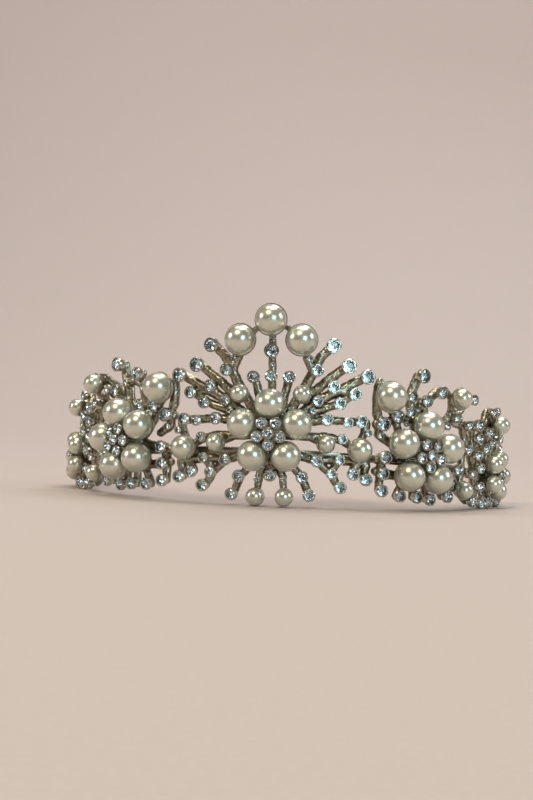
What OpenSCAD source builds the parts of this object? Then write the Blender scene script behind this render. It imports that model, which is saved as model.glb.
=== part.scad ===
// Bridal tiara: five cast branch sprays with pearls and foil-backed stones on a curved back bar.
// The origin is on the floor under the middle of the tiara. The front looks along -Y, up is +Z.

/* [Head band] */
// Half the width of the oval that the sprays follow, from ear to ear
oval_half_width = 74; // [66:1:82]
// Depth of the oval from the brow to the line of the ears
oval_depth = 60; // [50:1:75]
// Degrees that the front spray leans towards the wearer's right
center_lean = 1.6; // [0:0.1:4]
// How far the middle of the oval lies behind the origin
oval_back = 27.5; // [20:0.5:36]
// Thickness of the back bar
bar_thick = 1.4; // [1:0.1:2.4]
// Height of the back bar's section
bar_tall = 2.6; // [1.6:0.1:4]
// Height of the back bar above the floor at the brow
bar_front_up = 17.5; // [14:0.5:22]
// Height of the back bar above the floor at the ears
bar_side_up = 9; // [6:0.5:14]

/* [Pearls] */
// Diameter of the crest, shoulder and front flower pearls
large_pearl = 10; // [8:0.5:12]
// Diameter of the two pearls between the front and side sprays
link_pearl = 8; // [6:0.5:9]
// Diameter of the pearls on the end sprays
end_pearl = 6.5; // [5:0.5:8]
// Diameter of the spray pearls at the outer top of the side sprays
spray_pearl = 7; // [5:0.5:8]
// Diameter of the bud pearls
bud_pearl = 6; // [4:0.5:7]
// Radius of the peg that each half-drilled pearl is glued on
peg_r = 0.6; // [0.4:0.05:0.8]
// Wall of the bowls that the pearls sit in
bowl_wall = 0.4; // [0.3:0.05:0.6]

/* [Stone cups] */
// Outer diameter of the cups at the branch tips
tip_cup = 4.9; // [4:0.1:6]
// Outer diameter of the cups along the branches
arm_cup = 4.2; // [3.4:0.1:5]
// Outer diameter of the six cups in the middle of a front or side flower
heart_cup = 3.8; // [3:0.1:4]
// Degrees that the end sprays' cups turn towards the front
end_turn = 16; // [0:1:20]
// Wall of a cup's rim
rim_wall = 0.42; // [0.3:0.02:0.7]

/* [Branches] */
// Radius of a thick branch
thick = 1.6; // [1:0.05:2]
// Radius of a thin branch
thin = 1.3; // [0.8:0.05:1.6]
// How far the branches' front, which carries the cups and bowls, stands in front of the oval
face = 1; // [0.5:0.1:2]

/* [Flowers] */
// Distance from the middle of a front or side flower to its pearls
petal_reach = 9.3; // [8.8:0.1:11]
// Distance from the middle of an end flower to its pearls
end_reach = 5.8; // [5.6:0.1:8]
// Distance from the middle of a front or side flower to its ring of small cups
heart_reach = 3.9; // [3.6:0.1:4.2]

/* [Hair loops] */
// Radius of the hole for a hair grip or ribbon
loop_hole_r = 1.5; // [1:0.1:2]
// Radius of the loop's outer edge
loop_r = 3; // [2.4:0.1:4]

/* [Hidden] */
// places on the oval are written as [degrees round from the brow, height above the floor]

silver = [0.75, 0.7, 0.6];
pearl = [0.86, 0.86, 0.76];
crystal = [0.86, 0.9, 0.93];

// flowers: [degrees, height, turn of the first pearl from straight up, reach, pearl diameter]
center_flower = [0, 24, 0, petal_reach, large_pearl];
left_side_flower = [40.5, 19.2, -16, petal_reach, large_pearl];
right_side_flower = [39.5, 18.7, -4, petal_reach, large_pearl];
end_flower = [75, 11.6, 50, end_reach, end_pearl];

// pearls on their own: [degrees, height, diameter]
crest = [[0, 60.5, large_pearl]];
side_crest = [[7.3, 54, large_pearl]];
upper_bud = [[7.6, 36.5, bud_pearl]];
lower_bud = [[3.5, 3.17, bud_pearl]];
inner_bud = [[13.5, 20.5, bud_pearl]];
link = [[21.8, 18.7, link_pearl]];
shoulder = [[29.2, 37.2, large_pearl]];
right_spray = [[52, 37.7, spray_pearl]];
left_spray = [[57, 37.7, spray_pearl]];
low = [[55, 6.8, bud_pearl]];
end_top = [[77, 29, end_pearl]];

// cups: [degrees, height, outer diameter]
stem_cups = [[0, 50.6, tip_cup], [0, 42.4, arm_cup], [0, 10.2, arm_cup], [0.2, 54.2, 2.2], [0.3, 46.4, 2.2]];
center_arm_cups = [
  [15.2, 52.4, tip_cup], [19.1, 45.9, tip_cup], [24, 42.5, tip_cup],
  [11.3, 44.3, arm_cup], [15.5, 39, arm_cup], [20.8, 36.8, arm_cup], [17, 33.6, arm_cup],
  [11.5, 34.4, 3.8], [4.4, 42, arm_cup], [9.4, 48.2, 2.4], [10.4, 31.2, 2.4],
  [13.9, 28.4, arm_cup], [19.2, 27.6, 3.6], [22.6, 27.9, arm_cup],
  [17.8, 22.2, 3.4], [11.4, 15, arm_cup], [17.2, 15.4, 3.6], [15.2, 10.8, 3.8],
  [20.6, 10.8, arm_cup], [17.3, 6.4, arm_cup], [23.9, 9, arm_cup],
  [7.8, 9.7, arm_cup], [9.6, 3.8, arm_cup], [3.2, 9, 2.4], [24.6, 24.2, 2.4]
];
side_low_cups = [
  [28.3, 28.3, 4.8], [32.4, 30.9, 4.4],
  [29.3, 17.4, 4.5], [28.9, 12, arm_cup], [28.6, 6.4, arm_cup], [33.8, 4.8, arm_cup],
  [39, 4.5, arm_cup], [43.3, 3.8, arm_cup], [49.6, 4.7, arm_cup], [61, 3, arm_cup],
  [53.6, 13.6, arm_cup], [51.2, 8.6, 3], [28, 24.4, 2.4], [35.2, 28.6, 2], [58, 20.4, 3.6]
];
right_side_top_cups = [
  [39.4, 44.6, tip_cup], [36.5, 37.6, 3.8], [36.3, 32.5, 3.8], [41, 36.4, arm_cup],
  [46, 39.3, arm_cup], [60, 37.5, 3.8], [52.4, 30.6, arm_cup], [58.2, 28.6, 3.6], [48.9, 28.2, 2.6]
];
left_side_top_cups = [
  [37.3, 31.1, 4.2], [46.8, 44.6, tip_cup], [38.7, 41.8, arm_cup], [43.6, 38.3, 2.4],
  [47.4, 35.8, arm_cup], [52, 36, 3.4], [66.4, 36.2, 3.4], [58.2, 30.5, arm_cup], [48.6, 31.4, 2.6]
];
end_cups = [
  [63, 29, arm_cup], [63.6, 24.4, 3.8], [68.4, 20.8, arm_cup], [63.4, 18.6, 3.6], [70.8, 26.2, 3.6],
  [65.2, 14.2, 3.8], [65.4, 7.8, 3.6], [66.6, 2.3, arm_cup], [71.2, 2.2, arm_cup], [73.8, 22.8, 3.2],
  [80.8, 2.2, arm_cup], [85.6, 2.8, arm_cup], [84.6, 30, arm_cup], [74.4, 33.4, 3.2], [80.2, 33.8, 3.2],
  [86, 24.4, arm_cup], [91, 20, arm_cup], [92, 14.4, arm_cup], [95.6, 9, arm_cup], [89, 6.6, 3.8],
  [81, 21.8, 3.2], [61.6, 12, 3]
];

// branches: runs of [degrees, height, radius]
center_stem = [
  [[0, 28, thick], [0, 42.4, thin], [0, 50.6, thin], [0, 60.5, 1]],
  [[0, 20, thick], [0, 10.2, thin]]
];
center_arms = [
  [[2, 27, thin], [3.4, 37, thin], [4.4, 42, thin]],
  [[3, 28, thin], [7.6, 36.5, 1]],
  [[2, 26, thick], [8, 38, thick], [10.6, 44.4, thick], [12.2, 48.6, thick], [15.2, 52.4, 1.5]],
  [[10.2, 44, thin], [8.8, 48.4, thin], [7.3, 54, 1]],
  [[0, 60.5, 1], [3.6, 58.5, 0.9], [7.3, 54, 1]],
  [[8.6, 35, thick], [13.6, 40.6, thick], [19.1, 45.9, 1.5]],
  [[7, 30, thick], [11.5, 34.4, thick], [17, 37.6, thick], [24, 42.5, 1.5]],
  [[14.6, 36.2, thin], [15.5, 39, thin]],
  [[17.4, 37.6, thin], [20.8, 36.8, thin]],
  [[6, 28, thin], [10.4, 30.6, thin], [17, 33.6, thin], [21.4, 37, thin]],
  [[4, 26, thin], [9, 27.8, thick], [14, 28.3, thin], [22.6, 27.8, thin], [24.5, 27.5, 1.5]],
  [[24.5, 27.2, 1.5], [24, 24, thin], [21.8, 18.7, 1.1]],
  [[3, 23, thin], [9.6, 22.8, thin], [13.5, 20.5, 1]],
  [[10, 22.8, thin], [14, 23, thin], [18.4, 21.6, thin], [21.8, 18.7, 1.1]],
  [[3, 20, thin], [7, 16.8, thick], [11.4, 15, thin], [17.2, 15.4, thick], [24.5, 14.4, thick]],
  [[21.8, 18.7, 1.1], [22.4, 14.6, thick], [20.6, 10.8, thin]],
  [[22.4, 14.6, 1.6], [24.5, 16.4, thick], [24.6, 20.4, thin]],
  [[24.5, 14, thick], [23.9, 9, thin]],
  [[11.4, 15, thin], [15.2, 10.8, thin], [17.3, 6.4, thin]],
  [[17.2, 15.2, thin], [15.2, 10.8, thin]],
  [[3, 19, thin], [5.4, 13, thin], [7.8, 9.7, thin], [9.6, 3.8, thin]],
  [[0.8, 17, thin], [3, 9.4, thin], [3.5, 3.17, 0.9]]
];
side_low_arms = [
  [[27.2, 28, 1.5], [28.3, 28.3, thin], [32.8, 30, thin], [37.9, 30.4, thin], [40.4, 26, thin]],
  [[28, 28, thin], [28, 24.8, 1.5], [31.4, 22, thin]],
  [[32.8, 29.8, thin], [33.6, 26.4, thin], [36, 22, thin]],
  [[39, 19, thick], [34, 17.4, thick], [29.4, 17.2, thick], [27.6, 16.4, thin]],
  [[29.4, 17.2, thick], [28.9, 12, thick], [28.6, 6.4, thin]],
  [[28.9, 12, thick], [36, 11, thin]],
  [[28.9, 12.2, thin], [27.4, 12.6, thin]],
  [[39, 19, thin], [36.6, 11, thin], [33.8, 4.8, thin]],
  [[40, 17, thin], [39.2, 10, thin], [39, 4.5, thin]],
  [[41, 17, thin], [43, 10, thin], [43.3, 3.9, thin]],
  [[42, 17, thin], [47, 9, thin], [49.6, 4.7, thin]],
  [[42, 17, thick], [47, 13, thick], [51.2, 8.6, thin], [55, 6.8, 1], [61, 3, thin]],
  [[47, 13.4, thin], [53.6, 13.6, thin], [58, 13, thin]],
  [[42, 20, thick], [50, 20.6, thin], [57.4, 20.8, thick], [59, 20.4, thin]],
  [[53.6, 13.6, thin], [55, 6.8, 1]],
  [[58, 20.8, thin], [58, 13, thin], [57, 8, thin]]
];
right_side_top_arms = [
  [[27.2, 39.8, thin], [27.2, 36, thick], [27.4, 32, thick], [28.2, 28.6, thin]],
  [[27.2, 39.8, thin], [27.8, 42, thin], [29.2, 37.2, 1.1]],
  [[29.2, 37.2, 1.1], [31.2, 33.4, thin], [32.8, 30, thin]],
  [[39.6, 24, thick], [38.4, 31, thick], [36.8, 36.6, thick], [38, 40.4, 1.5], [39.4, 44.6, 1.5]],
  [[38.4, 31, thin], [41, 36.2, thin], [42, 33, thin], [41, 26, thin]],
  [[41, 35.4, thin], [43.6, 37.4, thin], [46, 39.3, thick], [49, 40.4, thin], [52, 37.7, 1.1]],
  [[52, 37.7, 1.1], [52.2, 33.4, thin], [51.2, 30.4, thin], [47.4, 26.4, thin], [42, 20, thin]],
  [[52, 32.4, thin], [56.2, 33.4, 1], [60, 37.5, thin]],
  [[50.8, 30.4, thick], [52.6, 30.4, thick], [57.2, 28.6, thin], [59, 29, thin]],
  [[57.6, 28.4, thin], [59, 24.6, thin], [58, 20.8, thin]]
];
left_side_top_arms = [
  [[27.2, 39.8, thin], [27.2, 36, thick], [27.4, 32, thick], [28.2, 28.6, thin]],
  [[29.2, 37.2, 1.1], [31.2, 33.4, thin], [32.8, 30, thin]],
  [[41, 24, thick], [43.4, 31, thick], [44.6, 37.9, thick], [46.2, 41.1, 1.5], [46.8, 44.6, 1.5]],
  [[44.4, 38.2, thin], [41.7, 39.4, thin], [38.6, 38, thin], [37.6, 34.4, thin], [37.9, 30.4, thin]],
  [[40.4, 39.2, thin], [38.7, 41.8, thin]],
  [[43.4, 31, thin], [47.4, 35.8, thick], [53.3, 38.4, thin], [57, 40, thin], [60.6, 40.6, 1]],
  [[42, 20, thin], [48.6, 27, thin], [52, 31.4, thick], [54, 34.4, thin], [57, 37.7, 1.1]],
  [[48.2, 26.8, thin], [48.6, 31.4, thin], [47.4, 35.6, thin]],
  [[53, 32.6, thin], [60, 33.4, 1], [66.4, 36.2, thin]],
  [[51, 29.8, thin], [58, 30.3, thick], [59, 29.2, thin]],
  [[58.4, 30, thin], [59, 24.6, thin], [58, 20.8, thin]]
];
end_arms = [
  [[75, 12, thick], [76.4, 20, thin], [77, 29, 1.1]],
  [[77, 29, 1.1], [74.4, 33.4, thin], [80.2, 33.8, thin], [84.6, 30, thin], [86, 24.4, thin]],
  [[74.4, 33.4, thin], [70.8, 26.2, thin], [68.4, 20.8, thin], [71, 14, thin]],
  [[61.4, 29, thin], [63, 29, thin], [67, 28.6, thin], [70.8, 26.2, thin], [73.8, 22.8, thin],
   [76.4, 20, thin]],
  [[67, 28.6, thin], [71.6, 29, thick], [77, 29, 1.1]],
  [[63, 29, thin], [63.6, 24.4, thin], [63.4, 18.6, thick], [65.2, 14.2, thin], [72, 12.4, thick]],
  [[61.4, 20, thin], [63.4, 18.8, thin], [68.4, 20.6, thin]],
  [[61.6, 12, thin], [65.2, 14, thin]],
  [[65.2, 14, thin], [65.4, 7.8, thin], [66.6, 2.3, thin]],
  [[65.4, 7.8, thin], [73, 8.4, thin]],
  [[73, 8.4, thin], [71.2, 1.2, thin]],
  [[76.6, 8.4, thin], [80.8, 1.2, thin]],
  [[77.6, 9, thin], [85.6, 1.6, thin]],
  [[78, 11, thick], [84, 9, thin], [89, 6.6, thin]],
  [[78, 11, thick], [86, 11.6, thick], [95.6, 9, thin]],
  [[78, 12, thick], [86, 14.8, thin], [92, 14.4, thin]],
  [[76.4, 15, thin], [84, 19, thin], [91, 20, thin]],
  [[76.4, 15, thin], [81, 21.8, thin], [86, 24.4, thin], [91, 20, thin], [92, 14.4, thin], [95.6, 9, thin]]
];

// the bar's run and the loops at its ends
bar_end = 100;
bar_steps = 60;
bar_face = -2.2;
loop_at = 103.6;

// direction square to the oval, and a point on it
function facing(t) = atan2(sin(t) / oval_half_width, cos(t) / oval_depth);
function spot(t, up, out) =
  [oval_half_width * sin(t) + out * sin(facing(t)),
   oval_back - oval_depth * cos(t) - out * cos(facing(t)), up];
function bar_up(t) = bar_side_up + (bar_front_up - bar_side_up) * cos(t);

// stand at a place on the oval with +Z facing out and +Y up
module at(t, up, out = 0) translate(spot(t, up, out)) rotate([90, 0, facing(t)]) children();

// the front spray is soldered on a little askew, turned about its flower
module leaning() translate([0, 0, center_flower[1]]) rotate([0, -center_lean, 0])
  translate([0, 0, -center_flower[1]]) children();

// the same on the five pearls of a flower; side is -1 on the left, 1 on the right
module on_petals(f, side, out = 0)
  at(side * f[0], f[1], out)
    for (k = [0:4]) translate([-side * f[3] * sin(f[2] + 72 * k), f[3] * cos(f[2] + 72 * k), 0]) children();

module knot(s, side) translate(spot(side * s[0], s[1], face - s[2])) sphere(r = s[2], $fn = 8);

// a cast branch through its stations
module branches(runs, side)
  for (run = runs, i = [0:len(run) - 2]) hull() { knot(run[i], side); knot(run[i + 1], side); }

// the arms that run from the middle of a flower to its pearls
module flower_arms(f, side)
  at(side * f[0], f[1])
    for (k = [0:4]) hull() {
      translate([0, 0, face - 1.5]) sphere(r = 1.5, $fn = 8);
      translate([-side * f[3] * sin(f[2] + 72 * k), f[3] * cos(f[2] + 72 * k), face - 0.95])
        sphere(r = 0.95, $fn = 8);
    }

module pearl_body(d) color(pearl) translate([0, 0, face + bowl_wall + d / 2])
  difference() {
    sphere(d = d, $fn = 64);
    translate([0, 0, -d]) cylinder(h = 0.7 * d, r = peg_r + 0.05, $fn = 24);
  }

// a thin round bowl with the peg in its middle; wrap is the rim's height over the pearl's radius
module bowl(d, wrap) color(silver) translate([0, 0, face + bowl_wall + d / 2]) {
  difference() {
    sphere(r = d / 2 + bowl_wall, $fn = 64);
    sphere(r = d / 2 + 0.02, $fn = 64);
    translate([0, 0, d * (wrap / 2 - 0.5)]) cylinder(h = 2 * d, r = d, $fn = 64);
  }
  translate([0, 0, -d / 2 - bowl_wall / 2]) cylinder(h = bowl_wall / 2 + 0.18 * d, r = peg_r, $fn = 24);
}

module cup(d) color(silver) {
  tall = 0.35 + 0.5 * d;
  difference() {
    union() {
      cylinder(h = 0.55 * tall, r1 = 0.33 * d, r2 = d / 2, $fn = 32);
      translate([0, 0, 0.55 * tall]) cylinder(h = 0.45 * tall, d = d, $fn = 32);
    }
    translate([0, 0, tall - 0.3 * d]) cylinder(h = d, r = d / 2 - rim_wall, $fn = 32);
  }
}

// a round stone: shallow crown over a girdle, with its point down in the cup
module stone(d) color(crystal) {
  r = d / 2 - rim_wall - 0.03;
  translate([0, 0, 0.35 + 0.5 * d]) rotate_extrude($fn = 32)
    polygon([[0, -0.29 * d], [0.3 * r, -0.29 * d], [r, -0.1 * d], [r, -0.04 * d],
             [0.6 * r, 0.06 * d], [0, 0.06 * d]]);
}

// the raised cluster of six cups in the middle of a flower, on a plate with posts
module heart(f, side) {
  k = f[3] / petal_reach;
  reach = heart_reach * k;
  d = heart_cup * k;
  lift = face + bowl_wall + f[4] / 2 + 3.6 * k - (0.35 + 0.5 * d);
  color(silver) at(side * f[0], f[1], face) {
    cylinder(h = 0.8, r = reach + 1.1 * k, $fn = 48);
    cylinder(h = lift + 0.5 * k - face + 0.15, r = 0.95 * k, $fn = 24);
    for (a = [0:4]) rotate(side * (36 + f[2] + 72 * a)) translate([0, reach, 0]) {
      cylinder(h = lift - face + 0.15, r = 0.65 * k, $fn = 24);
      translate([0, 0, lift - face]) cup(d);
    }
    translate([0, 0, lift + 0.5 * k - face]) cup(d);
  }
}

module heart_stones(f, side) {
  k = f[3] / petal_reach;
  d = heart_cup * k;
  lift = face + bowl_wall + f[4] / 2 + 3.6 * k - (0.35 + 0.5 * d);
  at(side * f[0], f[1], lift) {
    for (a = [0:4]) rotate(side * (36 + f[2] + 72 * a)) translate([0, heart_reach * k, 0]) stone(d);
    translate([0, 0, 0.5 * k]) stone(d);
  }
}

module flower_pearls(f, side) on_petals(f, side) pearl_body(f[4]);
module flower_bowls(f, side) on_petals(f, side) bowl(f[4], 0.5);
module pearls(list, side) for (p = list) at(side * p[0], p[1]) pearl_body(p[2]);
module bowls(list, side, wrap) for (p = list) at(side * p[0], p[1]) bowl(p[2], wrap);
// turned about the upright, with the low edge of the foot still on the branches' front
module turned(c, side, turn) at(side * c[0], c[1], face + 0.33 * c[2] * sin(turn))
  rotate([0, -side * turn, 0]) children();
module cups(list, side, turn = 0) for (c = list) turned(c, side, turn) cup(c[2]);
module stones(list, side, turn = 0) for (c = list) turned(c, side, turn) stone(c[2]);

module center_frame() color(silver) leaning() {
  flower_arms(center_flower, 1);
  branches(center_stem, 1);
  for (side = [-1, 1]) branches(center_arms, side);
}

module side_frame(side, flower, top_arms) color(silver) {
  flower_arms(flower, side);
  branches(side_low_arms, side);
  branches(top_arms, side);
}

module end_frame(side) color(silver) {
  flower_arms(end_flower, side);
  branches(end_arms, side);
}

// flat bar swept round the oval behind the sprays
module back_bar() {
  corners = [for (i = [0:bar_steps]) let (t = bar_end * (2 * i / bar_steps - 1))
    for (c = [[bar_face, 1], [bar_face, -1], [bar_face - bar_thick, -1], [bar_face - bar_thick, 1]])
      spot(t, bar_up(t) + c[1] * bar_tall / 2, c[0])];
  sides = [for (i = [0:bar_steps - 1], k = [0:3])
    [4 * i + k, 4 * i + (k + 1) % 4, 4 * i + 4 + (k + 1) % 4, 4 * i + 4 + k]];
  color(silver) polyhedron(points = corners,
    faces = concat([[3, 2, 1, 0]], sides, [[for (k = [0:3]) 4 * bar_steps + k]]));
}

// flat eye at the bar's end for a hair grip or a ribbon
module hair_loop(side) color(silver) at(side * loop_at, bar_up(loop_at), bar_face - bar_thick)
  difference() {
    union() {
      cylinder(h = bar_thick, r = loop_r, $fn = 48);
      translate([side > 0 ? -loop_r - 0.4 : 0, -1.1, 0]) cube([loop_r + 0.4, 2.2, bar_thick]);
    }
    translate([0, 0, -1]) cylinder(h = bar_thick + 2, r = loop_hole_r, $fn = 48);
  }

center_frame();
side_frame(-1, left_side_flower, left_side_top_arms);  // left_side_frame
side_frame(1, right_side_flower, right_side_top_arms);  // right_side_frame
end_frame(-1);  // left_end_frame
end_frame(1);  // right_end_frame
back_bar();
leaning() flower_pearls(center_flower, 1);  // center_flower_pearls
flower_pearls(left_side_flower, -1);  // left_side_flower_pearls
flower_pearls(right_side_flower, 1);  // right_side_flower_pearls
flower_pearls(end_flower, -1);  // left_end_flower_pearls
flower_pearls(end_flower, 1);  // right_end_flower_pearls
leaning() pearls(crest, 1);  // crest_pearl
leaning() pearls(side_crest, -1);  // left_crest_pearl
leaning() pearls(side_crest, 1);  // right_crest_pearl
leaning() pearls(upper_bud, -1);  // left_upper_bud_pearl
leaning() pearls(upper_bud, 1);  // right_upper_bud_pearl
leaning() pearls(lower_bud, -1);  // left_lower_bud_pearl
leaning() pearls(lower_bud, 1);  // right_lower_bud_pearl
leaning() pearls(inner_bud, -1);  // left_inner_bud_pearl
leaning() pearls(inner_bud, 1);  // right_inner_bud_pearl
leaning() pearls(link, -1);  // left_link_pearl
leaning() pearls(link, 1);  // right_link_pearl
pearls(shoulder, -1);  // left_shoulder_pearl
pearls(shoulder, 1);  // right_shoulder_pearl
pearls(left_spray, -1);  // left_spray_pearl
pearls(right_spray, 1);  // right_spray_pearl
pearls(low, -1);  // left_low_pearl
pearls(low, 1);  // right_low_pearl
pearls(end_top, -1);  // left_end_top_pearl
pearls(end_top, 1);  // right_end_top_pearl
leaning() flower_bowls(center_flower, 1);  // center_flower_bowls
flower_bowls(left_side_flower, -1);  // left_side_flower_bowls
flower_bowls(right_side_flower, 1);  // right_side_flower_bowls
union() { flower_bowls(end_flower, -1); bowls(end_top, -1, 0.6); }  // left_end_bowls
union() { flower_bowls(end_flower, 1); bowls(end_top, 1, 0.6); }  // right_end_bowls
leaning() {  // crest_bowls
  bowls(crest, 1, 0.85);
  for (s = [-1, 1]) bowls(side_crest, s, 0.85);
}
leaning()  // center_bud_bowls
  for (s = [-1, 1]) bowls(concat(upper_bud, lower_bud, inner_bud, link), s, 0.5);
bowls(concat(shoulder, left_spray, low), -1, 0.8);  // left_side_pearl_bowls
bowls(concat(shoulder, right_spray, low), 1, 0.8);  // right_side_pearl_bowls
leaning() heart(center_flower, 1);  // center_heart
heart(left_side_flower, -1);  // left_side_heart
heart(right_side_flower, 1);  // right_side_heart
heart(end_flower, -1);  // left_end_heart
heart(end_flower, 1);  // right_end_heart
leaning() {  // center_cups
  cups(stem_cups, 1);
  for (s = [-1, 1]) cups(center_arm_cups, s);
}
cups(concat(side_low_cups, left_side_top_cups), -1);  // left_side_cups
cups(concat(side_low_cups, right_side_top_cups), 1);  // right_side_cups
cups(end_cups, -1, end_turn);  // left_end_cups
cups(end_cups, 1, end_turn);  // right_end_cups
leaning() {  // center_stones
  heart_stones(center_flower, 1);
  stones(stem_cups, 1);
  for (s = [-1, 1]) stones(center_arm_cups, s);
}
union() {  // left_side_stones
  heart_stones(left_side_flower, -1);
  stones(concat(side_low_cups, left_side_top_cups), -1);
}
union() {  // right_side_stones
  heart_stones(right_side_flower, 1);
  stones(concat(side_low_cups, right_side_top_cups), 1);
}
union() {  // left_end_stones
  heart_stones(end_flower, -1);
  stones(end_cups, -1, end_turn);
}
union() {  // right_end_stones
  heart_stones(end_flower, 1);
  stones(end_cups, 1, end_turn);
}
hair_loop(-1);  // left_hair_loop
hair_loop(1);  // right_hair_loop
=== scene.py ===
import math
import random
import bpy
import bmesh
import numpy as np
from mathutils import Matrix, Vector


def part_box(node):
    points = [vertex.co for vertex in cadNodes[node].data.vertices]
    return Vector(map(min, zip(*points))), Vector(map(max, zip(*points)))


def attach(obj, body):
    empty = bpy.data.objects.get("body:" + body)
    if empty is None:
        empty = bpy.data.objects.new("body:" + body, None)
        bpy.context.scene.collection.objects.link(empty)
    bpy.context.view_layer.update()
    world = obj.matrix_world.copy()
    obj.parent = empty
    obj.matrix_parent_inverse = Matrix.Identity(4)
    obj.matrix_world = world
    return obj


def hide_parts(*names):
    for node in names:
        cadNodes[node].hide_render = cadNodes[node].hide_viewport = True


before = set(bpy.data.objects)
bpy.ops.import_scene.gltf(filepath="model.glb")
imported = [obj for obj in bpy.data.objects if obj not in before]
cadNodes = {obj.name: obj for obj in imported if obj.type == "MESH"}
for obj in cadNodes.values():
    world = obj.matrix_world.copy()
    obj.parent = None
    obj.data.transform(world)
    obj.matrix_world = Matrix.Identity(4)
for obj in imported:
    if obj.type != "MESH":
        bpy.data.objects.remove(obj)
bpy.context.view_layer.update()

mm = 0.001
mergeDistance = 0.002 * mm
cutAccuracy = 0.00001
print("frame loaded,", len(cadNodes), "nodes")


def deselectAll():
    if bpy.context.mode != "OBJECT":
        bpy.ops.object.mode_set(mode="OBJECT")
    bpy.ops.object.select_all(action="DESELECT")


def makeActive(piece):
    deselectAll()
    piece.select_set(True)
    bpy.context.view_layer.objects.active = piece


def editMode(selectKind="VERT"):
    bpy.ops.object.mode_set(mode="EDIT")
    bpy.ops.mesh.select_mode(type=selectKind)
    bpy.ops.mesh.select_all(action="DESELECT")


def selectFaces(piece, wanted):
    # wanted gets a face's middle and normal
    mesh = bmesh.from_edit_mesh(piece.data)
    mesh.select_mode = {"FACE"}
    for face in mesh.faces:
        face.select_set(bool(wanted(face.calc_center_median(), face.normal)))
    mesh.select_flush_mode()
    bmesh.update_edit_mesh(piece.data)


def selectEdges(piece, wanted):
    # wanted gets the place of one end, and has to hold at both
    mesh = bmesh.from_edit_mesh(piece.data)
    for edge in mesh.edges:
        edge.select_set(all(wanted(vert.co) for vert in edge.verts))
    bmesh.update_edit_mesh(piece.data)


def applyModifiers(piece):
    makeActive(piece)
    for modifier in list(piece.modifiers):
        bpy.ops.object.modifier_apply(modifier=modifier.name)


def copyOfNode(nodeName, pieceName):
    # a merged copy of a CAD node's mesh, free of the node's own marks
    piece = bpy.data.objects.new(pieceName, cadNodes[nodeName].data.copy())
    bpy.context.scene.collection.objects.link(piece)
    piece.data.materials.clear()
    makeActive(piece)
    bpy.ops.mesh.customdata_custom_splitnormals_clear()
    editMode()
    bpy.ops.mesh.select_all(action="SELECT")
    bpy.ops.mesh.remove_doubles(threshold=mergeDistance)
    bpy.ops.object.mode_set(mode="OBJECT")
    return piece


def joinPieces(pieces, name):
    deselectAll()
    for piece in pieces:
        piece.select_set(True)
    bpy.context.view_layer.objects.active = pieces[0]
    bpy.ops.object.join()
    pieces[0].name = name
    pieces[0].data.name = name
    return pieces[0]


def finishPiece(piece, slotName, *nodeNames):
    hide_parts(*nodeNames)
    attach(piece, "root")


def smoothByAngle(piece, degrees):
    makeActive(piece)
    bpy.ops.object.shade_smooth_by_angle(angle=math.radians(degrees))


def newMaterial(name):
    material = bpy.data.materials.new(name)
    material.use_nodes = True
    tree = material.node_tree
    shader = tree.nodes["Principled BSDF"]
    place = tree.nodes.new("ShaderNodeTexCoord").outputs["Object"]
    return material, tree, shader, place


def addNoise(tree, place, perMetre, detail=3.0, roughness=0.55):
    node = tree.nodes.new("ShaderNodeTexNoise")
    node.inputs["Scale"].default_value = perMetre
    node.inputs["Detail"].default_value = detail
    node.inputs["Roughness"].default_value = roughness
    tree.links.new(place, node.inputs["Vector"])
    return node.outputs["Fac"]


def addRamp(tree, value, stops):
    node = tree.nodes.new("ShaderNodeValToRGB")
    ramp = node.color_ramp
    while len(ramp.elements) < len(stops):
        ramp.elements.new(0.5)
    for element, (position, colour) in zip(ramp.elements, stops):
        element.position = position
        element.color = (*colour, 1.0)
    tree.links.new(value, node.inputs["Fac"])
    return node.outputs["Color"]


def addRange(tree, value, low, high, fromLow=0.3, fromHigh=0.7):
    node = tree.nodes.new("ShaderNodeMapRange")
    node.inputs["From Min"].default_value = fromLow
    node.inputs["From Max"].default_value = fromHigh
    node.inputs["To Min"].default_value = low
    node.inputs["To Max"].default_value = high
    tree.links.new(value, node.inputs["Value"])
    return node.outputs["Result"]


def addMultiply(tree, first, second):
    node = tree.nodes.new("ShaderNodeMix")
    node.data_type = "RGBA"
    node.blend_type = "MULTIPLY"
    node.inputs["Factor"].default_value = 1.0
    tree.links.new(first, node.inputs["A"])
    tree.links.new(second, node.inputs["B"])
    return node.outputs["Result"]


def addBump(tree, shader, height, depth, strength):
    node = tree.nodes.new("ShaderNodeBump")
    node.inputs["Strength"].default_value = strength
    node.inputs["Distance"].default_value = depth
    tree.links.new(height, node.inputs["Height"])
    tree.links.new(node.outputs["Normal"], shader.inputs["Normal"])


silverLook = {
    "bright": (0.56, 0.52, 0.41),
    "middle": (0.33, 0.31, 0.235),
    "tarnish": (0.09, 0.085, 0.06),
    "roughnessLow": 0.20,
    "roughnessHigh": 0.42,
    "pitPerMetre": 2600,
    "bumpDepth": 0.05 * mm,
}

wear = {
    "patchPerMetre": 190,
    "dullPatch": (0.74, 0.73, 0.71),
    "cleanPatch": (1.0, 1.0, 1.0),
    "hollowToEdge": (0.44, 0.56),
    "pitStrength": 0.55,
}


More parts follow.
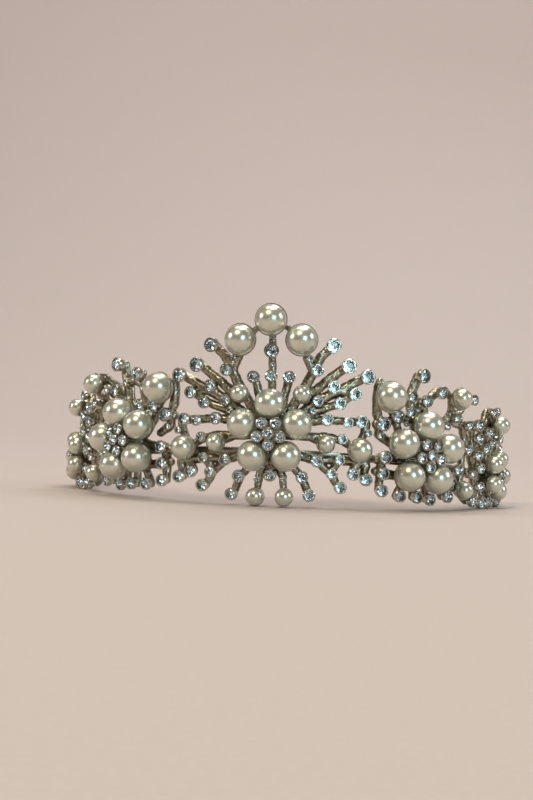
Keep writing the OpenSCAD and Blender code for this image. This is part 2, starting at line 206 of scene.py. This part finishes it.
def castSilver(name, look):
    # warm grey cast metal with tarnish left in the hollows
    material, tree, shader, place = newMaterial(name)
    broad = addNoise(tree, place, wear["patchPerMetre"], 2.0)
    fine = addNoise(tree, place, look["pitPerMetre"], 4.0, 0.6)
    hollow = tree.nodes.new("ShaderNodeNewGeometry").outputs["Pointiness"]
    edges = addRange(tree, hollow, 0.0, 1.0, *wear["hollowToEdge"])
    worn = addRamp(tree, edges, [(0.0, look["tarnish"]), (0.45, look["middle"]), (1.0, look["bright"])])
    patches = addRamp(tree, broad, [(0.3, wear["dullPatch"]), (0.7, wear["cleanPatch"])])
    tree.links.new(addMultiply(tree, worn, patches), shader.inputs["Base Color"])
    tree.links.new(addRange(tree, fine, look["roughnessLow"], look["roughnessHigh"]),
                   shader.inputs["Roughness"])
    shader.inputs["Metallic"].default_value = 1.0
    addBump(tree, shader, fine, look["bumpDepth"], wear["pitStrength"])
    return material


cupLook = {
    "bright": (0.64, 0.63, 0.55),
    "middle": (0.42, 0.41, 0.35),
    "tarnish": (0.10, 0.10, 0.08),
    "roughnessLow": 0.13,
    "roughnessHigh": 0.30,
    "pitPerMetre": 3400,
    "bumpDepth": 0.025 * mm,
}

bowlLook = {
    "bright": (0.47, 0.43, 0.35),
    "middle": (0.33, 0.30, 0.24),
    "tarnish": (0.12, 0.105, 0.08),
    "roughnessLow": 0.24,
    "roughnessHigh": 0.42,
    "pitPerMetre": 2400,
    "bumpDepth": 0.03 * mm,
}

pearlLook = {
    "light": (0.72, 0.715, 0.595),
    "deep": (0.60, 0.615, 0.525),
    "roughnessLow": 0.27,
    "roughnessHigh": 0.33,
    "metallic": 0.75,
    "coatRoughness": 0.12,
    "coatIor": 1.6,
    "cloudPerMetre": 260,
    "ripplePerMetre": 5200,
    "rippleDepth": 0.004 * mm,
    "rippleStrength": 0.3,
}


def nacre(name, look):
    # glass pearl: satin body under a clear glossy coat
    material, tree, shader, place = newMaterial(name)
    cloud = addNoise(tree, place, look["cloudPerMetre"], 2.0)
    fine = addNoise(tree, place, look["ripplePerMetre"], 3.0)
    tree.links.new(addRamp(tree, cloud, [(0.3, look["deep"]), (0.7, look["light"])]),
                   shader.inputs["Base Color"])
    tree.links.new(addRange(tree, fine, look["roughnessLow"], look["roughnessHigh"]),
                   shader.inputs["Roughness"])
    shader.inputs["Metallic"].default_value = look["metallic"]
    shader.inputs["Coat Weight"].default_value = 1.0
    shader.inputs["Coat Roughness"].default_value = look["coatRoughness"]
    shader.inputs["Coat IOR"].default_value = look["coatIor"]
    addBump(tree, shader, fine, look["rippleDepth"], look["rippleStrength"])
    return material


stoneLook = {
    "body": (0.95, 0.99, 1.0),
    "ior": 1.62,
    "polish": 0.035,
    "foil": (0.86, 0.95, 1.0),
    "foilDull": (0.76, 0.88, 0.96),
    "foilRoughnessLow": 0.08,
    "foilRoughnessHigh": 0.16,
    "specksPerMetre": 900,
    "polishDepth": 0.003 * mm,
    "polishStrength": 0.2,
}


def crystalGlass(name, look):
    # clear crown of a stone
    material, tree, shader, place = newMaterial(name)
    shader.inputs["Base Color"].default_value = (*look["body"], 1.0)
    shader.inputs["Transmission Weight"].default_value = 1.0
    shader.inputs["IOR"].default_value = look["ior"]
    polish = addNoise(tree, place, look["specksPerMetre"], 2.0)
    tree.links.new(addRange(tree, polish, 0.0, look["polish"]), shader.inputs["Roughness"])
    addBump(tree, shader, polish, look["polishDepth"], look["polishStrength"])
    return material


def stoneFoil(name, look):
    # mirror behind the lower facets
    material, tree, shader, place = newMaterial(name)
    specks = addNoise(tree, place, look["specksPerMetre"], 2.0)
    tint = addRamp(tree, specks, [(0.3, look["foilDull"]), (0.7, look["foil"])])
    tree.links.new(tint, shader.inputs["Base Color"])
    tree.links.new(addRange(tree, specks, look["foilRoughnessLow"], look["foilRoughnessHigh"]),
                   shader.inputs["Roughness"])
    shader.inputs["Metallic"].default_value = 1.0
    addBump(tree, shader, specks, look["polishDepth"], look["polishStrength"])
    return material


castMetal = castSilver("castMetal", silverLook)
cupMetal = castSilver("cupMetal", cupLook)
bowlMetal = castSilver("bowlMetal", bowlLook)
pearlNacre = nacre("pearlNacre", pearlLook)
stoneGlass = crystalGlass("stoneGlass", stoneLook)
stoneBack = stoneFoil("stoneBack", stoneLook)
print("materials made")


branchMaking = {
    "voxel": 0.27 * mm,
    "smoothing": 4,
    "lumpSize": 1.7 * mm,
    "lumpDepth": 0.42 * mm,
    "ridgeSize": 0.7 * mm,
    "ridgeDepth": 0.16 * mm,
    "swell": 0.2 * mm,
    "softenFactor": 0.5,
    "settleFactor": 0.4,
}


def addDisplacement(piece, name, size, depth):
    pattern = bpy.data.textures.new(name, "CLOUDS")
    pattern.noise_scale = size
    pattern.noise_depth = 1
    push = piece.modifiers.new(name, "DISPLACE")
    push.texture = pattern
    push.texture_coords = "LOCAL"
    push.strength = depth
    push.mid_level = 0.5


def castBranches(nodeName, pieceName, making):
    # the plain knots and rods melted together, then given a cast, lumpy skin
    piece = copyOfNode(nodeName, pieceName)
    remesh = piece.modifiers.new("melt", "REMESH")
    remesh.mode = "VOXEL"
    remesh.voxel_size = making["voxel"]
    soften = piece.modifiers.new("soften", "SMOOTH")
    soften.factor = making["softenFactor"]
    soften.iterations = making["smoothing"]
    fuller = piece.modifiers.new("fuller", "DISPLACE")
    fuller.strength = making["swell"]
    fuller.mid_level = 0.0
    addDisplacement(piece, "lumps", making["lumpSize"], making["lumpDepth"])
    addDisplacement(piece, "ridges", making["ridgeSize"], making["ridgeDepth"])
    settle = piece.modifiers.new("settle", "SMOOTH")
    settle.factor = making["settleFactor"]
    settle.iterations = 1
    applyModifiers(piece)
    bpy.ops.object.shade_smooth()
    piece.data.materials.append(castMetal)
    finishPiece(piece, "antique_silver", nodeName)
    return piece


sprays = ["center", "left_side", "right_side", "left_end", "right_end"]


def camel(words):
    first, *rest = words.split("_")
    return first + "".join(word.capitalize() for word in rest)


for spray in sprays:
    made = castBranches(spray + "_frame", camel(spray) + "Branches", branchMaking)
    print("branches cast:", made.name, len(made.data.polygons), "faces")


def stoneSeats(nodeName):
    # the table's middle, the way it faces and the girdle's radius of every stone in the node
    solid = bmesh.new()
    solid.from_mesh(cadNodes[nodeName].data)
    bmesh.ops.remove_doubles(solid, verts=solid.verts, dist=mergeDistance)
    seen, seats = set(), []
    for start in solid.verts:
        if start in seen:
            continue
        seen.add(start)
        queue, faces = [start], set()
        while queue:
            vert = queue.pop()
            faces.update(vert.link_faces)
            for edge in vert.link_edges:
                other = edge.other_vert(vert)
                if other not in seen:
                    seen.add(other)
                    queue.append(other)
        faces = sorted(faces, key=lambda face: face.index)
        normals = np.array([face.normal for face in faces])
        areas = np.array([face.calc_area() for face in faces])
        middles = np.array([face.calc_center_median() for face in faces])
        corners = np.array([vert.co for face in faces for vert in face.verts])
        alike = normals @ normals.T > 0.9999
        widest = int(np.argmax(alike @ areas))
        table = alike[widest]
        middle = (middles[table] * areas[table, None]).sum(0) / areas[table].sum()
        facing = normals[table].mean(0)
        facing /= np.linalg.norm(facing)
        along = (corners - middle) @ facing
        radius = np.linalg.norm(corners - middle - along[:, None] * facing, axis=1).max()
        seats.append((Vector(middle), Vector(facing), float(radius)))
    solid.free()
    return seats


def seatFrame(middle, facing, turn=0.0):
    # +Z along facing, +Y as near to up as can be
    across = Vector((0, 0, 1)).cross(facing).normalized()
    up = facing.cross(across)
    turned = Matrix((across, up, facing)).transposed().to_4x4()
    return Matrix.Translation(middle) @ turned @ Matrix.Rotation(turn, 4, "Z")


# the stone is cut facet by facet from a round blank of radius 1
stoneCut = {
    "blankDepth": 2.2,
    "sides": 8,
    "crownAngle": 33.0,
    "upperHalfAngle": 41.0,
    "pavilionAngle": 36.0,
    "lowerHalfAngle": 38.0,
    "crownHeight": 0.27,
    "girdle": 0.05,
    "foilBelow": -0.2,
}


def cutFacets(angle, azimuths, radius, height, downward=False):
    # every plane passes through a point at that radius and height
    tilt = math.radians(angle)
    rise = -math.cos(tilt) if downward else math.cos(tilt)
    for azimuth in azimuths:
        outward = Vector((math.cos(azimuth), math.sin(azimuth), 0))
        normal = outward * math.sin(tilt) + Vector((0, 0, rise))
        point = outward * radius + Vector((0, 0, height))
        bpy.ops.mesh.select_all(action="SELECT")
        bpy.ops.mesh.bisect(plane_co=point, plane_no=normal, use_fill=True, clear_outer=True,
                            threshold=cutAccuracy)


def makeStone(cut):
    sides = cut["sides"]
    step = 2 * math.pi / sides
    mains = [step * k for k in range(sides)]
    ridges = [step * (k + 0.5) for k in range(sides)]
    halves = [step * (k + 0.25 + 0.5 * h) for k in range(sides) for h in (0, 1)]
    depth = cut["blankDepth"]
    bpy.ops.mesh.primitive_cylinder_add(vertices=2 * sides, radius=1.0, depth=depth,
                                        location=(0, 0, cut["crownHeight"] - depth / 2))
    stone = bpy.context.object
    stone.name = "stoneMaster"
    editMode("FACE")
    crown = math.tan(math.radians(cut["crownAngle"]))
    upper = math.tan(math.radians(cut["upperHalfAngle"]))
    # the halves meet the ridge between two mains here, and the stars run from there to the table
    half, quarter = math.cos(step / 2), math.cos(step / 4)
    meet = (upper - crown) / (upper * quarter - crown * half)
    meetHeight = (1 - meet * half) * crown
    tableEdge = (1 - cut["crownHeight"] / crown) * half
    star = math.degrees(math.atan2(cut["crownHeight"] - meetHeight, meet - tableEdge))
    cutFacets(cut["crownAngle"], mains, 1.0, 0.0)
    cutFacets(star, ridges, meet, meetHeight)
    cutFacets(cut["upperHalfAngle"], halves, 1.0, 0.0)
    cutFacets(cut["pavilionAngle"], mains, 1.0, -cut["girdle"], downward=True)
    cutFacets(cut["lowerHalfAngle"], halves, 1.0, -cut["girdle"], downward=True)
    bpy.ops.mesh.select_all(action="SELECT")
    bpy.ops.mesh.remove_doubles(threshold=0.0005)
    bpy.ops.mesh.normals_make_consistent(inside=False)
    bpy.ops.object.mode_set(mode="OBJECT")
    stone.data.transform(stone.matrix_world)
    stone.matrix_world = Matrix.Identity(4)
    stone.data.materials.append(stoneGlass)
    stone.data.materials.append(stoneBack)
    for face in stone.data.polygons:
        face.material_index = 1 if face.normal.z < cut["foilBelow"] else 0
    return stone


stoneMaster = makeStone(stoneCut)
print("stone cut:", len(stoneMaster.data.polygons), "facets")


# the cup has radius 1 outside and its rim at height 0
cupShape = {
    "sides": 24,
    "claws": 6,
    "height": 1.17,
    "footRadius": 0.66,
    "shoulder": 0.52,
    "inner": 0.80,
    "pocket": 0.85,
    "pocketTaper": 0.45,
    "rimEdge": 0.06,
    "clawHeight": 0.15,
    "clawLean": 0.90,
    "clawSteps": (0.6, 0.4),
    "smoothAngle": 35,
}


def makeCup(shape):
    tall = shape["height"]
    bpy.ops.mesh.primitive_cylinder_add(vertices=shape["sides"], radius=1.0, depth=tall,
                                        location=(0, 0, -tall / 2))
    cup = bpy.context.object
    cup.name = "cupMaster"
    cup.data.transform(cup.matrix_world)
    cup.matrix_world = Matrix.Identity(4)
    editMode("FACE")
    bpy.ops.mesh.select_all(action="SELECT")
    bpy.ops.mesh.bisect(plane_co=(0, 0, -tall * shape["shoulder"]), plane_no=(0, 0, 1),
                        threshold=cutAccuracy)
    selectFaces(cup, lambda middle, normal: normal.z < -0.9)
    bpy.ops.transform.resize(value=(shape["footRadius"], shape["footRadius"], 1),
                             center_override=(0, 0, -tall))
    selectFaces(cup, lambda middle, normal: normal.z > 0.9)
    edge = shape["rimEdge"]
    bpy.ops.mesh.inset(thickness=edge, depth=edge)
    bpy.ops.mesh.inset(thickness=1 - edge - shape["inner"], depth=0)
    bpy.ops.mesh.extrude_region_move(TRANSFORM_OT_translate={"value": (0, 0, -shape["pocket"])})
    taper = shape["pocketTaper"]
    bpy.ops.transform.resize(value=(taper, taper, 1), center_override=(0, 0, 0))
    bpy.ops.mesh.select_all(action="SELECT")
    bpy.ops.transform.translate(value=(0, 0, -edge))
    step = 2 * math.pi / shape["claws"]

    def atClaw(middle, normal):
        # the faces of the flat rim that stand up as claws
        away = math.hypot(middle.x, middle.y)
        around = (math.atan2(middle.y, middle.x) + math.pi / shape["sides"]) % step
        onRim = shape["inner"] < away < 1 - edge * 0.4 and abs(middle.z) < 0.02
        return onRim and around < 2.02 * math.pi / shape["sides"]

    selectFaces(cup, atClaw)
    lean = shape["clawLean"]
    for share in shape["clawSteps"]:
        rise = shape["clawHeight"] * share
        bpy.ops.mesh.extrude_region_move(TRANSFORM_OT_translate={"value": (0, 0, rise)})
        bpy.ops.transform.resize(value=(lean, lean, 1), center_override=(0, 0, 0))
    bpy.ops.mesh.select_all(action="SELECT")
    bpy.ops.mesh.normals_make_consistent(inside=False)
    bpy.ops.object.mode_set(mode="OBJECT")
    cup.data.materials.append(cupMetal)
    smoothByAngle(cup, shape["smoothAngle"])
    return cup


cupMaster = makeCup(cupShape)
print("cup made:", len(cupMaster.data.polygons), "faces")


setting = {
    "rimWall": 0.45 * mm,
    "tableOverRim": 0.06,
    "girdleUnderRim": 0.03,
    "maxTurn": 24.0,
    "maxLean": 4.0,
}
chance = random.Random(7)


def copyOf(master, name, matrix, reshape=None):
    piece = bpy.data.objects.new(name, master.data.copy())
    bpy.context.scene.collection.objects.link(piece)
    if reshape is not None:
        reshape(piece.data)
    piece.data.transform(matrix)
    return piece


def setStone(middle, facing, radius, name):
    # the CAD table stands over the rim by a share of the cup's width
    outer = radius + setting["rimWall"]
    rim = middle - facing * (setting["tableOverRim"] * 2 * outer)
    girdle = rim - facing * (setting["girdleUnderRim"] * 2 * outer)
    turn = math.radians(chance.uniform(-setting["maxTurn"], setting["maxTurn"]))
    lean = Matrix.Rotation(math.radians(chance.uniform(0, setting["maxLean"])), 4, "X")
    place = seatFrame(girdle, facing, chance.uniform(0, math.pi)) @ lean @ Matrix.Scale(radius, 4)
    stone = copyOf(stoneMaster, name + "Stone", place)

    def wallToSize(mesh):
        # the wall stays the same on every size of cup
        for vert in mesh.vertices:
            onOutside = math.hypot(vert.co.x, vert.co.y) > 0.9
            underPocket = vert.co.z < -cupShape["pocket"] - 0.1
            wide = outer if onOutside or underPocket else radius / cupShape["inner"]
            vert.co = (vert.co.x * wide, vert.co.y * wide, vert.co.z * outer)

    cup = copyOf(cupMaster, name + "Cup", seatFrame(rim, facing, turn), wallToSize)
    return stone, cup


heartMaking = {
    "reach": 7.0 * mm,
    "plateThick": 0.8 * mm,
    "plateBand": 0.5 * mm,
    "plateSides": 36,
    "postSides": 14,
    "plateEdge": 0.15 * mm,
    "postShare": 0.36,
    "flare": 0.3 * mm,
    "flareShare": 1.35,
    "sunk": 0.2 * mm,
    "smoothAngle": 35,
}


def heartSeats(spray, seats):
    # the stones of the cluster, and those on the branches
    low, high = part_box(spray + "_heart")
    middle = (low + high) / 2
    inside = [seat for seat in seats if (seat[0] - middle).length < heartMaking["reach"]]
    others = [seat for seat in seats if (seat[0] - middle).length >= heartMaking["reach"]]
    return inside, others


def heartPlate(spray, seats):
    # round plate with one post under every cup of the cluster
    facing = seats[0][1]
    centre = sum((seat[0] for seat in seats), Vector()) / len(seats)
    corners = np.array([vert.co for vert in cadNodes[spray + "_heart"].data.vertices])
    along = (corners - np.array(centre)) @ np.array(facing)
    floor = along.min()
    across = np.linalg.norm(corners - np.array(centre) - along[:, None] * np.array(facing), axis=1)
    plateRadius = across[along < floor + heartMaking["plateBand"]].max()
    thick = heartMaking["plateThick"]
    bpy.ops.mesh.primitive_cylinder_add(vertices=heartMaking["plateSides"], radius=plateRadius,
                                        depth=thick)
    plate = bpy.context.object
    editMode("FACE")
    selectFaces(plate, lambda middle, normal: normal.z > 0.9)
    bpy.ops.mesh.inset(thickness=heartMaking["plateEdge"] * 2)
    bpy.ops.transform.translate(value=(0, 0, heartMaking["plateEdge"]))
    bpy.ops.object.mode_set(mode="OBJECT")
    plate.data.transform(seatFrame(centre + facing * (floor + thick / 2), facing))
    parts = [plate]
    for middle, _, radius in seats:
        outer = radius + setting["rimWall"]
        foot = (middle - centre).dot(facing) - outer * (2 * setting["tableOverRim"] + cupShape["height"])
        length = foot - floor + heartMaking["sunk"]
        bpy.ops.mesh.primitive_cylinder_add(vertices=heartMaking["postSides"],
                                            radius=outer * heartMaking["postShare"], depth=length)
        post = bpy.context.object
        editMode("FACE")
        selectFaces(post, lambda middle, normal: normal.z < -0.9)
        flare, wider = heartMaking["flare"], heartMaking["flareShare"]
        bpy.ops.transform.translate(value=(0, 0, flare))
        bpy.ops.mesh.extrude_region_move(TRANSFORM_OT_translate={"value": (0, 0, -flare)})
        bpy.ops.transform.resize(value=(wider, wider, 1), center_override=(0, 0, 0))
        bpy.ops.object.mode_set(mode="OBJECT")
        sunk = middle - facing * ((middle - centre).dot(facing) - floor - length / 2)
        post.data.transform(seatFrame(sunk, facing))
        parts.append(post)
    for part in parts:
        part.data.materials.append(cupMetal)
        smoothByAngle(part, heartMaking["smoothAngle"])
    return parts


for spray in sprays:
    seats = stoneSeats(spray + "_stones")
    heart, rest = heartSeats(spray, seats)
    name = camel(spray)
    stones, cups, heartCups = [], [], heartPlate(spray, heart)
    for seat in heart:
        stone, cup = setStone(*seat, name)
        stones.append(stone)
        heartCups.append(cup)
    for seat in rest:
        stone, cup = setStone(*seat, name)
        stones.append(stone)
        cups.append(cup)
    finishPiece(joinPieces(stones, name + "Stones"), "foiled_crystal", spray + "_stones")
    finishPiece(joinPieces(cups, name + "Cups"), "cup_silver", spray + "_cups")
    finishPiece(joinPieces(heartCups, name + "Heart"), "cup_silver", spray + "_heart")
    print("stones set:", name, len(heart), "in the heart,", len(rest), "on the branches")
for master in (stoneMaster, cupMaster):
    bpy.data.objects.remove(master)


barMaking = {
    "edge": 0.35 * mm,
    "loopEdge": 0.18 * mm,
    "segments": 3,
    "flatAngle": 1,
    "sharpAngle": 50,
    "smoothAngle": 40,
}


def eased(nodeName, pieceName, edge):
    # rounds the sharp edges of a CAD piece
    piece = copyOfNode(nodeName, pieceName)
    editMode("FACE")
    bpy.ops.mesh.select_all(action="SELECT")
    bpy.ops.mesh.dissolve_limited(angle_limit=math.radians(barMaking["flatAngle"]))
    bpy.ops.object.mode_set(mode="OBJECT")
    bevel = piece.modifiers.new("edge", "BEVEL")
    bevel.width = edge
    bevel.segments = barMaking["segments"]
    bevel.limit_method = "ANGLE"
    bevel.angle_limit = math.radians(barMaking["sharpAngle"])
    applyModifiers(piece)
    smoothByAngle(piece, barMaking["smoothAngle"])
    piece.data.materials.append(castMetal)
    finishPiece(piece, "antique_silver", nodeName)


eased("back_bar", "backBar", barMaking["edge"])
for side in ("left", "right"):
    eased(side + "_hair_loop", side + "HairLoop", barMaking["loopEdge"])
print("bar and loops eased")


# pearls and bowls keep their CAD shape
for nodeName, node in cadNodes.items():
    if nodeName.endswith(("_pearl", "_pearls")):
        node.data.materials.clear()
        node.data.materials.append(pearlNacre)
    elif nodeName.endswith("_bowls"):
        node.data.materials.clear()
        node.data.materials.append(bowlMetal)
print("pearls and bowls finished")


stageLook = {
    "floor": (0.58, 0.515, 0.485),
    "reach": 2.2,
    "back": 1.5,
    "sweep": 1.1,
    "height": 2.0,
    "grainPerMetre": 900,
    "grainDepth": 0.1 * mm,
}


def makeStage(look):
    # floor that sweeps up into a wall behind
    bpy.ops.mesh.primitive_plane_add(size=1)
    floor = bpy.context.object
    floor.name = "studioFloor"
    editMode("EDGE")
    wide, back = look["reach"], look["back"]
    bpy.ops.mesh.select_all(action="SELECT")
    bpy.ops.transform.resize(value=(2 * wide, wide + back, 1), center_override=(0, 0, 0))
    bpy.ops.transform.translate(value=(0, (back - wide) / 2, 0))
    selectEdges(floor, lambda corner: corner.y > back - 0.01)
    bpy.ops.mesh.extrude_region_move(TRANSFORM_OT_translate={"value": (0, 0.001, 0)})
    bpy.ops.transform.translate(value=(0, -0.001, look["height"]))
    selectEdges(floor, lambda corner: corner.y > back - 0.01 and corner.z < 0.01)
    bpy.ops.mesh.bevel(offset=look["sweep"], segments=16, affect="EDGES")
    bpy.ops.object.mode_set(mode="OBJECT")
    bpy.ops.object.shade_smooth()
    material, tree, shader, place = newMaterial("paperSweep")
    grain = addNoise(tree, place, look["grainPerMetre"], 2.0)
    colour = look["floor"]
    darker = tuple(0.97 * part for part in colour)
    tree.links.new(addRamp(tree, grain, [(0.35, darker), (0.65, colour)]), shader.inputs["Base Color"])
    tree.links.new(addRange(tree, grain, 0.80, 0.90), shader.inputs["Roughness"])
    addBump(tree, shader, grain, look["grainDepth"], 0.2)
    floor.data.materials.append(material)


lights = [
    # name, position, aim, width, height, watts, colour
    ("keyBox", (-0.26, -0.72, 0.92), (0, 0, 0.03), 0.30, 0.30, 4.8, (1.0, 0.86, 0.58)),
    ("windowBox", (0.46, -0.84, 0.25), (0, 0, 0.03), 0.32, 0.36, 2.3, (0.54, 0.87, 1.0)),
    ("rightBox", (0.92, -0.02, 0.44), (0, 0, 0.03), 0.22, 0.30, 2.2, (0.90, 0.97, 1.0)),
    ("leftBox", (-0.95, -0.30, 0.40), (0, 0, 0.03), 0.24, 0.32, 2.4, (0.92, 0.97, 1.0)),
    ("topBox", (0.1, -0.1, 1.15), (0, 0.05, 0), 0.35, 0.35, 1.6, (1.0, 0.94, 0.84)),
    ("backBox", (0.2, 0.75, 0.95), (0, 0, 0.03), 0.30, 0.20, 1.6, (0.92, 0.96, 1.0)),
    ("wallBox", (0.0, 0.3, 1.7), (0, 1.3, 0.3), 1.4, 0.5, 15.0, (1.0, 0.95, 0.93)),
]


sparkLook = {
    "count": 8,
    "spread": 78.0,
    "heights": (16.0, 44.0, 28.0, 60.0),
    "distance": 1.05,
    "size": 0.17,
    "watts": 1.5,
    "colours": ((1.0, 0.98, 0.94), (0.78, 0.93, 1.0)),
}


def addLamp(name, position, aim, width, height, watts, colour):
    lamp = bpy.data.lights.new(name, "AREA")
    lamp.shape = "RECTANGLE"
    lamp.size, lamp.size_y = width, height
    lamp.energy = watts
    lamp.color = colour
    holder = bpy.data.objects.new(name, lamp)
    bpy.context.scene.collection.objects.link(holder)
    way = Vector(aim) - Vector(position)
    holder.matrix_world = Matrix.Translation(position) @ way.to_track_quat("-Z", "Y").to_matrix().to_4x4()
    return holder


def makeSparkle(look):
    # small lamps round the front that only the stones catch
    stonesLit = bpy.data.collections.new("stonesLit")
    for spray in sprays:
        stonesLit.objects.link(bpy.data.objects[camel(spray) + "Stones"])
    for k in range(look["count"]):
        turn = math.radians(look["spread"] * (2 * k / (look["count"] - 1) - 1))
        rise = math.radians(look["heights"][k % len(look["heights"])])
        away = look["distance"]
        position = (away * math.cos(rise) * math.sin(turn), -away * math.cos(rise) * math.cos(turn),
                    away * math.sin(rise))
        lamp = addLamp("spark" + str(k), position, (0, 0, 0.03), look["size"], look["size"], look["watts"],
                       look["colours"][k % 2])
        lamp.light_linking.receiver_collection = stonesLit


roomLook = {"colour": (0.50, 0.46, 0.42), "strength": 0.09}


def makeRoom(look):
    world = bpy.data.worlds.new("room")
    world.use_nodes = True
    background = world.node_tree.nodes["Background"]
    background.inputs["Color"].default_value = (*look["colour"], 1.0)
    background.inputs["Strength"].default_value = look["strength"]
    bpy.context.scene.world = world
    bpy.context.scene.view_settings.view_transform = "Standard"


cameraPlace = {
    "position": (0.0474, -0.4706, 0.0329),
    "yaw": -6.44,
    "pitch": -0.21,
    "roll": 2.42,
    "lens": 60.75,
}


def makeCamera(place):
    # turned about the upright, then tipped, then rolled
    yaw, pitch, roll = (math.radians(place[key]) for key in ("yaw", "pitch", "roll"))
    look = Vector((math.sin(yaw) * math.cos(pitch), math.cos(yaw) * math.cos(pitch), -math.sin(pitch)))
    right = Vector((math.cos(yaw), -math.sin(yaw), 0))
    up = right.cross(look)
    right, up = (right * math.cos(roll) + up * math.sin(roll), up * math.cos(roll) - right * math.sin(roll))
    data = bpy.data.cameras.new("camera")
    data.lens = place["lens"]
    data.sensor_width = 36
    data.clip_start = 0.01
    camera = bpy.data.objects.new("camera", data)
    bpy.context.scene.collection.objects.link(camera)
    turned = Matrix((right, up, -look)).transposed().to_4x4()
    camera.matrix_world = Matrix.Translation(place["position"]) @ turned
    bpy.context.scene.camera = camera


makeStage(stageLook)
for lightMaking in lights:
    addLamp(*lightMaking)
makeSparkle(sparkLook)
makeRoom(roomLook)
makeCamera(cameraPlace)
print("stage, lights and camera ready")
